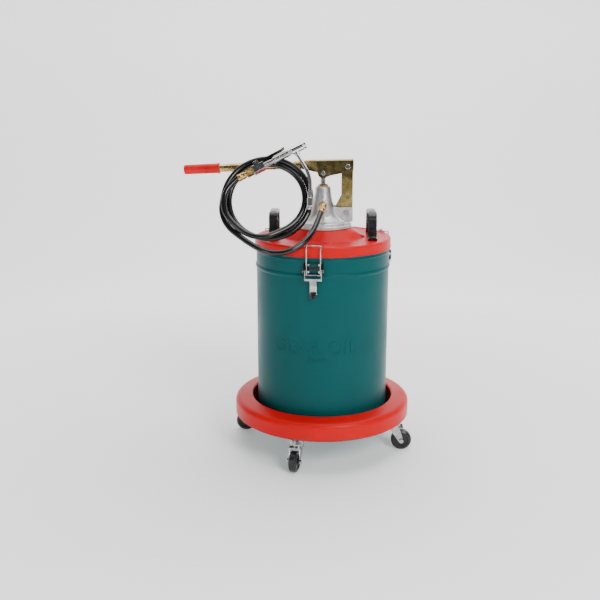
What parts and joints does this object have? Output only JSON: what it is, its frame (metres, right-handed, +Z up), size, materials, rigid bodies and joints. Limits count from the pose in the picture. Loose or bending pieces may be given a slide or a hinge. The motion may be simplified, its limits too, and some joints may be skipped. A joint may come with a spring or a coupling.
{
  "type": "gear oil pump",
  "caption": "Hand lever oil pump on the lid of a round drum, with clamped lid, side handles, coiled hose and dispensing gun, on a ring dolly with swivel casters.",
  "frame": {"origin": "on the floor, under the axis of the drum", "axes": "+Z up along the drum axis; the front with the hose outlet and one lid latch faces -Y; the hand lever points to -X"},
  "size_m": [0.5631, 0.4523, 0.7654],
  "materials": {
    "painted_red": "gloss enamel",
    "painted_teal": "fine orange-peel enamel",
    "zinc_silver": "bright zinc plating",
    "chrome": "polished",
    "black_lacquer": "black lacquer",
    "wheel_rubber": "satin",
    "black_oxide": "black oxide",
    "black_plastic": "fine grain",
    "cast_aluminium": "sand cast, light grey",
    "gasket_rubber": "matt",
    "hose_rubber": "smooth satin",
    "brass": "machined",
    "yellow_zinc": "yellow zinc passivate",
    "red_grip": "dipped soft plastic",
    "steel": "ground"
  },
  "bodies": {
    "stand": {"bracket_bolt": "zinc_silver", "caster_bolts": "zinc_silver", "caster_top_plates": "zinc_silver", "dolly_floor_plate": "painted_teal", "dolly_ring": "painted_red", "drum_bottom": "painted_teal", "drum_shell": "painted_teal", "foot_valve": "brass", "fulcrum_bracket": "yellow_zinc", "fulcrum_pin": "zinc_silver", "gland_nut": "brass", "gland_packing": "gasket_rubber", "gun_body": "zinc_silver", "head_gasket": "gasket_rubber", "hose_coil": "hose_rubber", "hose_end_fitting": "brass", "hose_ferrule": "brass", "hose_lead": "hose_rubber", "hose_tail": "hose_rubber", "latch_bases": "black_oxide", "latch_rivets": "zinc_silver", "lid": "painted_red", "lid_bolts": "black_oxide", "lid_gasket": "gasket_rubber", "lid_handles": "black_plastic", "outlet_elbow": "brass", "pump_head": "cast_aluminium", "pump_tube": "steel", "strainer": "steel"},
    "hand_lever": {"lever_head": "yellow_zinc", "lever_tube": "yellow_zinc", "lever_grip": "red_grip", "rod_pin": "zinc_silver"},
    "pump_rod": {"piston_rod": "steel", "piston": "brass", "piston_seals": "gasket_rubber"},
    "piston_valve": {"piston_valve_disc": "steel"},
    "foot_ball": {"foot_valve_ball": "steel"},
    "trigger": {"gun_trigger": "black_lacquer"},
    "nozzle": {"nozzle_head": "chrome", "nozzle_pipe": "chrome", "coupler": "chrome"},
    "latch_1": {"latch_lever_1": "zinc_silver"},
    "bail_1": {"latch_bail_1": "zinc_silver"},
    "latch_2": {"latch_lever_2": "zinc_silver"},
    "bail_2": {"latch_bail_2": "zinc_silver"},
    "latch_3": {"latch_lever_3": "zinc_silver"},
    "bail_3": {"latch_bail_3": "zinc_silver"},
    "caster_1": {"caster_fork_1": "zinc_silver", "caster_axle_1": "zinc_silver"},
    "wheel_1": {"caster_wheel_1": "wheel_rubber"},
    "caster_2": {"caster_fork_2": "zinc_silver", "caster_axle_2": "zinc_silver"},
    "wheel_2": {"caster_wheel_2": "wheel_rubber"},
    "caster_3": {"caster_fork_3": "zinc_silver", "caster_axle_3": "zinc_silver"},
    "wheel_3": {"caster_wheel_3": "wheel_rubber"},
    "caster_4": {"caster_fork_4": "zinc_silver", "caster_axle_4": "zinc_silver"},
    "wheel_4": {"caster_wheel_4": "wheel_rubber"}
  },
  "joints": [
    {"name": "lever_swing", "type": "hinge", "parent": "stand", "child": "hand_lever", "pos_m": [0.0587, 0, 0.704], "axis": [0, 1, 0], "range_deg": [-12, 35]},
    {"name": "rod_slide", "type": "slide", "parent": "stand", "child": "pump_rod", "axis": [0, 0, 1], "range_m": [-0.0125, 0.0365]},
    {"name": "piston_valve_lift", "type": "slide", "parent": "pump_rod", "child": "piston_valve", "axis": [0, 0, 1], "range_m": [0, 0.002]},
    {"name": "foot_ball_lift", "type": "slide", "parent": "stand", "child": "foot_ball", "axis": [0, 0, 1], "range_m": [0, 0.004]},
    {"name": "latch_1_swing", "type": "hinge", "parent": "stand", "child": "latch_1", "pos_m": [-0.02121, -0.1727, 0.481], "axis": [-0.9925, 0.1219, 0], "range_deg": [0, 110]},
    {"name": "bail_1_swing", "type": "hinge", "parent": "latch_1", "child": "bail_1", "pos_m": [-0.0209, -0.17022, 0.471], "axis": [-0.9925, 0.1219, 0], "range_deg": [-110, 0]},
    {"name": "latch_2_swing", "type": "hinge", "parent": "stand", "child": "latch_2", "pos_m": [0.16017, 0.06799, 0.481], "axis": [0.3907, -0.9205, 0], "range_deg": [0, 110]},
    {"name": "bail_2_swing", "type": "hinge", "parent": "latch_2", "child": "bail_2", "pos_m": [0.15787, 0.06701, 0.471], "axis": [0.3907, -0.9205, 0], "range_deg": [-110, 0]},
    {"name": "latch_3_swing", "type": "hinge", "parent": "stand", "child": "latch_3", "pos_m": [-0.13896, 0.10472, 0.481], "axis": [0.6018, 0.7986, 0], "range_deg": [0, 110]},
    {"name": "bail_3_swing", "type": "hinge", "parent": "latch_3", "child": "bail_3", "pos_m": [-0.13697, 0.10321, 0.471], "axis": [0.6018, 0.7986, 0], "range_deg": [-110, 0]},
    {"name": "caster_1_swivel", "type": "hinge", "parent": "stand", "child": "caster_1", "pos_m": [-0.05871, -0.1807, 0.06], "axis": [0, 0, 1], "continuous": true},
    {"name": "wheel_1_spin", "type": "hinge", "parent": "caster_1", "child": "wheel_1", "pos_m": [-0.06389, -0.20002, 0.0255], "axis": [0.9659, -0.2588, 0], "continuous": true},
    {"name": "caster_2_swivel", "type": "hinge", "parent": "stand", "child": "caster_2", "pos_m": [0.1807, -0.05871, 0.06], "axis": [0, 0, 1], "continuous": true},
    {"name": "wheel_2_spin", "type": "hinge", "parent": "caster_2", "child": "wheel_2", "pos_m": [0.2007, -0.05871, 0.0255], "axis": [0, 1, 0], "continuous": true},
    {"name": "caster_3_swivel", "type": "hinge", "parent": "stand", "child": "caster_3", "pos_m": [0.05871, 0.1807, 0.06], "axis": [0, 0, 1], "continuous": true},
    {"name": "wheel_3_spin", "type": "hinge", "parent": "caster_3", "child": "wheel_3", "pos_m": [0.05871, 0.2007, 0.0255], "axis": [1, 0, 0], "continuous": true},
    {"name": "caster_4_swivel", "type": "hinge", "parent": "stand", "child": "caster_4", "pos_m": [-0.1807, 0.05871, 0.06], "axis": [0, 0, 1], "continuous": true},
    {"name": "wheel_4_spin", "type": "hinge", "parent": "caster_4", "child": "wheel_4", "pos_m": [-0.2007, 0.05871, 0.0255], "axis": [0, -1, 0], "continuous": true},
    {"name": "nozzle_swivel", "type": "hinge", "parent": "stand", "child": "nozzle", "pos_m": [-0.0665, -0.04814, 0.7457], "axis": [-0.8755, -0.2269, -0.4267], "range_deg": [0, 120]},
    {"name": "trigger_pull", "type": "hinge", "parent": "stand", "child": "trigger", "pos_m": [-0.15834, -0.06523, 0.71354], "axis": [0, 0.8829, -0.4695], "range_deg": [0, 3.5], "stiffness_Nm_per_rad": 0.6, "springref_deg": -6.88}
  ],
  "couplings": [
    {"joint": "rod_slide", "follows": "lever_swing", "m_per_rad": 0.0587},
    {"joint": "bail_1_swing", "follows": "latch_1_swing", "ratio": -1},
    {"joint": "bail_2_swing", "follows": "latch_2_swing", "ratio": -1},
    {"joint": "bail_3_swing", "follows": "latch_3_swing", "ratio": -1}
  ]
}
